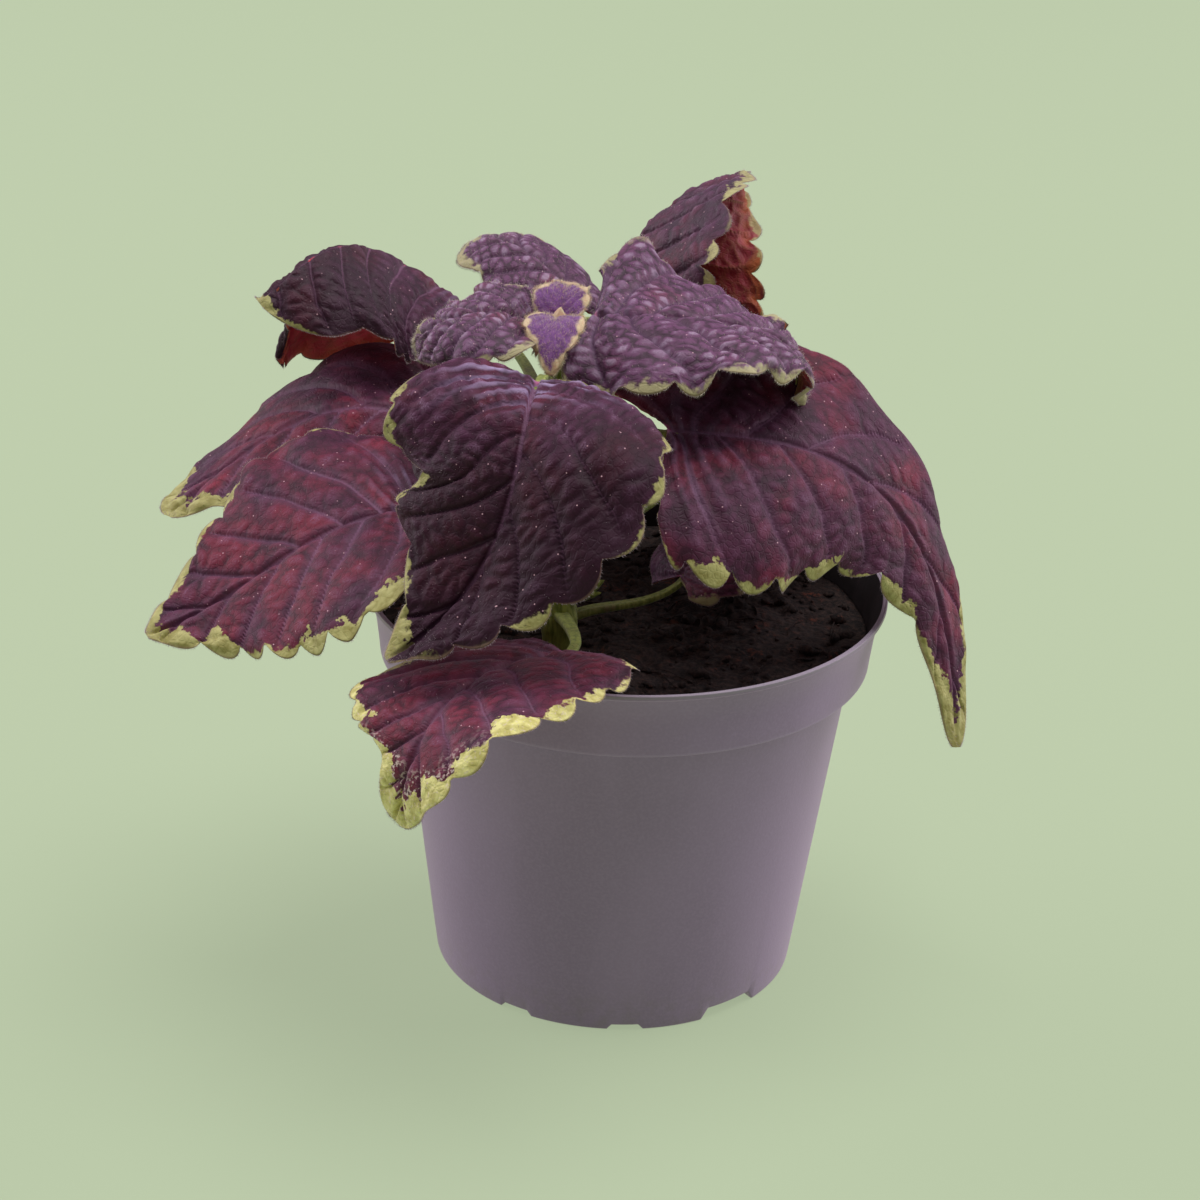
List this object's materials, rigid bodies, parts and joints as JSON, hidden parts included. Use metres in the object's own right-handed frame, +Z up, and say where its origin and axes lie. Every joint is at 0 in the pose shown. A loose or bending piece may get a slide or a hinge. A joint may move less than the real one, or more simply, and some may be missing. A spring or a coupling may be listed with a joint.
{
  "type": "potted coleus plant",
  "caption": "Coleus with crenate, quilted burgundy leaves edged in lime on a square stem, growing from dark peat in a tapered round plastic grower's pot.",
  "frame": {"origin": "centre of the pot's foot, on the face that the pot stands on", "axes": "+Z up along the pot's axis; -Y is the front, towards which the largest leaf hangs; +X is to the right seen from the front"},
  "size_m": [0.1854, 0.1885, 0.1764],
  "materials": {
    "pot_plastic": "thin moulded recycled plastic, mauve taupe, satin with faint scuffs",
    "potting_soil": null,
    "stem": null,
    "leaf": null,
    "young_leaf": null
  },
  "bodies": {
    "root": {"pot": "pot_plastic", "soil": "potting_soil", "stem": "stem", "leaf_front": "leaf", "leaf_left_front": "leaf", "leaf_low_front": "leaf", "leaf_right": "leaf", "leaf_upper_right": "leaf", "leaf_upper_left": "leaf", "leaf_left_middle": "leaf", "leaf_young_left": "young_leaf", "leaf_young_right": "young_leaf", "leaf_back": "young_leaf", "leaf_low_right": "leaf", "leaf_back_right": "leaf", "leaf_back_left": "leaf", "shoot_tip": "young_leaf"}
  },
  "joints": []
}
